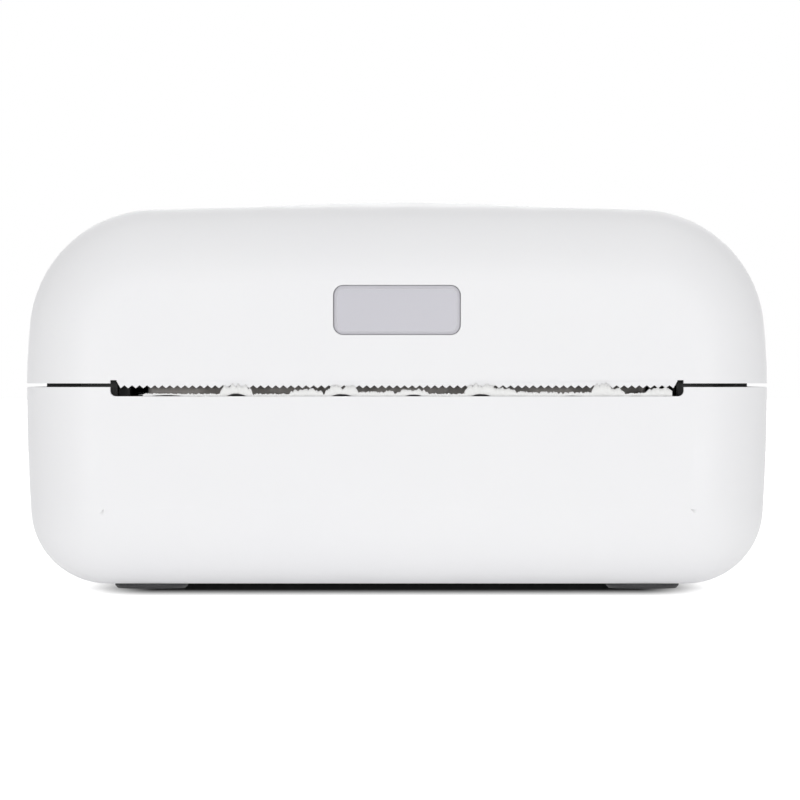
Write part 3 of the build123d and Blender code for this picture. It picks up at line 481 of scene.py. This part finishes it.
# The head's flat cable: amber polyimide film over copper lines 0.5 mm apart.
film, tree, shader, place = surface("polyimide_film", IOR=1.7, Roughness=0.25)
lines = add(tree, "ShaderNodeTexWave", {"Vector": place, "Scale": 628.0}, bands_direction="X")
tone = add(tree, "ShaderNodeMix", {0: lines.outputs["Fac"], 6: linear("#B5691C"), 7: linear("#D69A4E")},
           data_type="RGBA")
tree.links.new(tone.outputs[2], shader.inputs["Base Color"])
bump = add(tree, "ShaderNodeBump", {"Height": lines.outputs["Fac"], "Distance": 0.00002,
                                    "Strength": 1.0})
tree.links.new(bump.outputs[0], shader.inputs["Normal"])
dress("head_flex", film)


# The springs: hard-drawn steel wire wound cold and left bright. Two push the head up at the
# platen and two push the latch forward.
steps_per_turn = 24
weld_gap = 1e-7


def spring(name, radius, wire, length, turns, foot, lean):
    """A coil of round wire that stands on foot; lean turns it from upright."""
    bm = bmesh.new()
    ring = bmesh.ops.create_circle(bm, cap_ends=True, segments=10, radius=wire / 2)
    bmesh.ops.rotate(bm, verts=ring["verts"], cent=(0, 0, 0),
                     matrix=Matrix.Rotation(math.pi / 2, 3, "X"))
    bmesh.ops.translate(bm, verts=ring["verts"], vec=(radius, 0, wire / 2))
    steps = round(steps_per_turn * turns)
    bmesh.ops.spin(bm, geom=bm.verts[:] + bm.edges[:] + bm.faces[:], cent=(0, 0, 0), axis=(0, 0, 1),
                   dvec=(0, 0, (length - wire) / steps), angle=2 * math.pi * turns, steps=steps)
    bmesh.ops.remove_doubles(bm, verts=bm.verts[:], dist=weld_gap)
    bmesh.ops.recalc_face_normals(bm, faces=bm.faces[:])
    bmesh.ops.transform(bm, verts=bm.verts[:], matrix=Matrix.Translation(foot) @ lean)
    for face in bm.faces:
        face.smooth = True
    mesh = bpy.data.meshes.new(name)
    bm.to_mesh(mesh)
    bm.free()
    mesh.materials.append(spring_wire)
    made = bpy.data.objects.new(name, mesh)
    bpy.context.collection.objects.link(made)
    return made


spring_wire = worked("drawn_spring_wire", "#B8B8BA", "#9A9A9D",
                     rough=0.28, lines=(3000, 3000, 3000), relief=0.0000006)
upright = Matrix.Identity(4)
forward = Matrix.Rotation(math.pi / 2, 4, "X")
for side, x in (("left", -0.014), ("right", 0.014)):
    coil = spring("head_spring_" + side, radius=0.0014, wire=0.00032, length=0.00306,
                  turns=4.5, foot=(x, -0.0315, 0.01385), lean=upright)
    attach(coil, "base")
    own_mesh(coil)
    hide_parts("head_springs")
    coil = spring("latch_spring_" + side, radius=0.0013, wire=0.00028, length=0.0040,
                  turns=5.5, foot=(x, -0.0313, 0.031), lean=forward)
    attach(coil, "cover")
    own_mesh(coil)
    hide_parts("latch_springs")


# The roll of thermal paper on its cardboard core. The face is coated and nearly smooth; the
# ends show the wound layers, 0.065 mm thick but drawn 0.26 mm apart so that they are seen.
roll_y, roll_z = 0.004, 0.0202
coated, tree, shader, place = surface("wound_thermal_paper", IOR=1.5, Roughness=0.62)
centred = add(tree, "ShaderNodeMapping", {"Vector": place, "Location": (0, -roll_y, -roll_z)})
layers = add(tree, "ShaderNodeTexWave", {"Vector": centred.outputs[0], "Scale": 1200.0,
                                         "Distortion": 0.6, "Detail": 2.0,
                                         "Detail Scale": 2.0},
             wave_type="RINGS", rings_direction="X")
uneven = add(tree, "ShaderNodeTexNoise", {"Vector": place, "Scale": 220.0, "Detail": 3.0})
amount = add(tree, "ShaderNodeMath", {0: layers.outputs["Fac"], 1: 0.55, 2: uneven.outputs["Fac"]},
             operation="MULTIPLY_ADD")
tone = add(tree, "ShaderNodeMix", {0: amount.outputs[0], 6: linear("#E6E5E2"), 7: linear("#F3F3F1")},
           data_type="RGBA")
tree.links.new(tone.outputs[2], shader.inputs["Base Color"])
bump = add(tree, "ShaderNodeBump", {"Height": layers.outputs["Fac"], "Distance": 0.00003,
                                    "Strength": 1.0})
tree.links.new(bump.outputs[0], shader.inputs["Normal"])
dress("paper_roll", coated)

board, tree, shader, place = surface("spiral_wound_cardboard", IOR=1.5, Roughness=0.85)
fibres = add(tree, "ShaderNodeMapping", {"Vector": place, "Scale": (900, 5200, 5200)})
pulp = add(tree, "ShaderNodeTexNoise", {"Vector": fibres.outputs[0], "Scale": 1.0, "Detail": 5.0})
tone = add(tree, "ShaderNodeMix", {0: pulp.outputs["Fac"], 6: linear("#A88F6D"), 7: linear("#CDB897")},
           data_type="RGBA")
tree.links.new(tone.outputs[2], shader.inputs["Base Color"])
bump = add(tree, "ShaderNodeBump", {"Height": pulp.outputs["Fac"], "Distance": 0.00004,
                                    "Strength": 1.0})
tree.links.new(bump.outputs[0], shader.inputs["Normal"])
dress("paper_core", board)


# The web: the paper from the roll over the guide, under the platen and out of the slot,
# where it was torn by hand on the comb. The torn edge is ragged, and in places a tongue of
# paper is bent up in front of the teeth with a hollow under it.
web_left, web_right = -0.0281, 0.0289
tear_left, tear_right = -0.0275, 0.0298
web_path = [  # y and z along the middle of the sheet, from the roll to the slot: millimetres
    (-9.66, 13.77), (-11.1, 16.8), (-12.47, 19.74), (-12.85, 20.28), (-13.4, 20.62),
    (-14.05, 20.75), (-17.5, 20.75), (-21.0, 20.75), (-24.4, 20.75), (-26.0, 20.5),
    (-27.6, 20.2), (-29.0, 20.02), (-30.4, 19.885), (-31.2, 19.88), (-31.9, 19.9),
    (-33.2, 20.1), (-34.5, 20.38), (-36.0, 20.88), (-37.6, 21.28), (-38.8, 21.31),
    (-39.6, 21.31), (-40.05, 21.31)]
rise = [(-0.0403, 0.0213), (-0.0404, 0.0213), (-0.0404, 0.0215), (-0.0404, 0.0217)]
tongues = [  # middle, half width, height of the torn top, hollow below: millimetres
    (-24.9, 2.9, 21.40, 0.13), (-17.4, 1.75, 22.30, 0.30), (-9.8, 1.8, 21.85, 0.0),
    (-6.0, 1.8, 22.22, 0.24), (-2.0, 2.5, 21.62, 0.0), (1.8, 1.6, 21.80, 0.18),
    (5.0, 1.6, 21.40, 0.0), (9.1, 1.8, 22.36, 0.24), (11.7, 1.2, 21.95, 0.0),
    (15.2, 2.6, 21.62, 0.0), (19.0, 2.4, 21.55, 0.05), (22.2, 1.15, 22.40, 0.0),
    (23.9, 0.8, 21.90, 0.0), (25.9, 1.3, 21.45, 0.04), (28.4, 1.5, 21.95, 0.0)]
plain_top, plain_bottom = 21.38, 21.15
tongue_root, hollow_root = 21.36, 21.14
hollow_share = 0.62
least_height = 0.09
nick_depth, nick_above = 0.10, 0.86
chance = random.Random(57)
columns = 720
wobble = [chance.uniform(-1, 1) for step in range(columns + 1)]
shreds = [chance.uniform(0, 1) for step in range(columns + 1)]


def torn_edge(x, column):
    """The bottom and the top of the torn edge at x, in millimetres."""
    top, bottom = plain_top, plain_bottom
    for middle, half, height, hollow in tongues:
        share = max(0.0, 1 - ((x - middle) / half) ** 4)
        top = max(top, tongue_root + (height - tongue_root) * share ** 0.5)
        arch = max(0.0, 1 - ((x - middle) / (hollow_share * half)) ** 2)
        bottom = max(bottom, hollow_root + hollow * arch)
    near = (wobble[column] + wobble[min(column + 1, columns)] + wobble[max(column - 1, 0)]) / 3
    rough = 0.06 + 0.16 * (top - tongue_root)
    top += rough * near * 1.8 - (nick_depth if shreds[column] > nick_above else 0.0)
    return bottom + 0.02 * near, max(top, bottom + least_height)


bm = bmesh.new()
line = [bm.verts.new((web_left, y / 1000, z / 1000)) for y, z in web_path]
line += [bm.verts.new((web_left, y, z)) for y, z in rise]
edges = [bm.edges.new(pair) for pair in zip(line, line[1:])]
pulled = bmesh.ops.extrude_edge_only(bm, edges=edges)["geom"]
far = [item for item in pulled if isinstance(item, bmesh.types.BMVert)]
bmesh.ops.translate(bm, verts=far, vec=(web_right - web_left, 0, 0))
across = [edge for edge in bm.edges if abs(edge.verts[0].co.x - edge.verts[1].co.x) > 0.01]
bmesh.ops.subdivide_edges(bm, edges=across, cuts=columns - 1, use_grid_fill=True)
# Towards the front the sheet widens from fan_from, lifts from lift_from, and from edge_from
# on it is the torn edge, which turns up beyond turn_y.
fan_from, fan_run = -0.0375, 0.0022
lift_from, lift_run, lift_over = -0.0387, 0.0014, 0.00005
edge_from, turn_y = -0.0401, -0.04035
fold_z, fold_height = 0.0213, 0.0004
root_y, lip_y, set_back, most_lean = -0.04025, -0.04038, 0.00006, 0.00005
for vert in bm.verts:
    x, y, z = vert.co
    share = (x - web_left) / (web_right - web_left)
    column = round(share * columns)
    aim = tear_left + share * (tear_right - tear_left)
    if y < fan_from:
        vert.co.x = x + (aim - x) * min(1.0, (fan_from - y) / fan_run)
    if y < edge_from:
        low, high = torn_edge(1000 * aim, column)
        level = min(1.0, max(0.0, (z - fold_z) / fold_height))
        flap = 0.0 if y > turn_y else level
        lean = most_lean * wobble[(column * 7) % columns]
        vert.co.z = (low + (high - low) * flap) / 1000
        vert.co.y = (root_y if y > turn_y else lip_y + set_back * flap) + lean * flap
    elif y < lift_from:
        low, high = torn_edge(1000 * aim, column)
        blend = (lift_from - y) / lift_run
        vert.co.z = z + (low / 1000 + lift_over - z) * min(1.0, blend)
for face in bm.faces:
    face.smooth = True
bmesh.ops.recalc_face_normals(bm, faces=bm.faces[:])
mesh = bpy.data.meshes.new("torn_paper")
bm.to_mesh(mesh)
bm.free()
torn_paper = bpy.data.objects.new("torn_paper", mesh)
bpy.context.collection.objects.link(torn_paper)
thick = torn_paper.modifiers.new("thickness", "SOLIDIFY")
thick.thickness = 0.00007
thick.offset = 0.0

thermal, tree, shader, place = surface("torn_thermal_paper", IOR=1.5, Roughness=0.7)
fibres = add(tree, "ShaderNodeMapping", {"Vector": place, "Scale": (2600, 5200, 5200)})
pulp = add(tree, "ShaderNodeTexNoise", {"Vector": fibres.outputs[0], "Scale": 1.0, "Detail": 4.0})
tone = add(tree, "ShaderNodeMix", {0: pulp.outputs["Fac"], 6: linear("#EBEBEA"), 7: linear("#F8F8F7")},
           data_type="RGBA")
tree.links.new(tone.outputs[2], shader.inputs["Base Color"])
bump = add(tree, "ShaderNodeBump", {"Height": pulp.outputs["Fac"], "Distance": 0.00003,
                                    "Strength": 1.0})
tree.links.new(bump.outputs[0], shader.inputs["Normal"])
mesh.materials.append(thermal)
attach(torn_paper, "base")
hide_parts("paper_web")


# The paper sensor beside the web: black nylon with glass in it, so its skin is a little dull.
dress("paper_sensor", moulded("glass_filled_nylon", "#222223", "#191919",
                              rough=0.58, grain=0.00025, relief=0.000004))


# The platen: a sleeve of ground nitrile rubber on the steel shaft. It is pale grey and matt,
# with the fine rings of the grinding wheel, drawn 0.12 mm apart.
rubber, tree, shader, place = surface("ground_nitrile_rubber", IOR=1.5, Roughness=0.72)
rings = add(tree, "ShaderNodeMapping", {"Vector": place, "Scale": (8000, 300, 300)})
marks = add(tree, "ShaderNodeTexNoise", {"Vector": rings.outputs[0], "Scale": 1.0, "Detail": 3.0})
tone = add(tree, "ShaderNodeMix", {0: marks.outputs["Fac"], 6: linear("#D2CCC8"), 7: linear("#DDD8D5")},
           data_type="RGBA")
tree.links.new(tone.outputs[2], shader.inputs["Base Color"])
bump = add(tree, "ShaderNodeBump", {"Height": marks.outputs["Fac"], "Distance": 0.000008,
                                    "Strength": 1.0})
tree.links.new(bump.outputs[0], shader.inputs["Normal"])
dress("platen_rubber", rubber)


# The platen's bushes and the latch bar: the bushes are black nylon with oil in it, smooth and
# a little shiny, and the bar is nylon with glass in it, as the sensor's body.
dress("platen_bearings", moulded("oil_filled_nylon", "#2A2A2B", "#202021",
                                 rough=0.45, grain=0.0002, relief=0.000002))
dress("latch_slider", moulded("glass_filled_nylon_bar", "#1E1E1F", "#161617",
                              rough=0.52, grain=0.00025, relief=0.000004))


# The comb: a separate moulding in the cover's white ABS, snapped behind the slot's top edge.
# Its teeth tear the paper.
dress("tear_strip", moulded("crisp_white_abs", "#F2F2F3", "#EEEEF0",
                            rough=0.4, grain=0.00018, relief=0.0000006))


# The comb's bead: the comb is welded along its top to the edge of the slot, and the bead
# shows as a faint line.
bead_low = (-0.03035, -0.04017, 0.02277)
bead_high = (0.03035, -0.0396, 0.02288)
bm = bmesh.new()
bead = bmesh.ops.create_cube(bm, size=1.0)["verts"]
bmesh.ops.scale(bm, verts=bead, vec=[high - low for low, high in zip(bead_low, bead_high)])
bmesh.ops.translate(bm, verts=bead, vec=[(high + low) / 2 for low, high in zip(bead_low, bead_high)])
bmesh.ops.bevel(bm, geom=bm.edges[:], offset=0.00002, affect="EDGES", segments=2,
                profile=0.5, material=-1)
mesh = bpy.data.meshes.new("comb_bead")
bm.to_mesh(mesh)
bm.free()
mesh.materials.append(white_abs)
comb_bead = bpy.data.objects.new("comb_bead", mesh)
bpy.context.collection.objects.link(comb_bead)
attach(comb_bead, "cover")
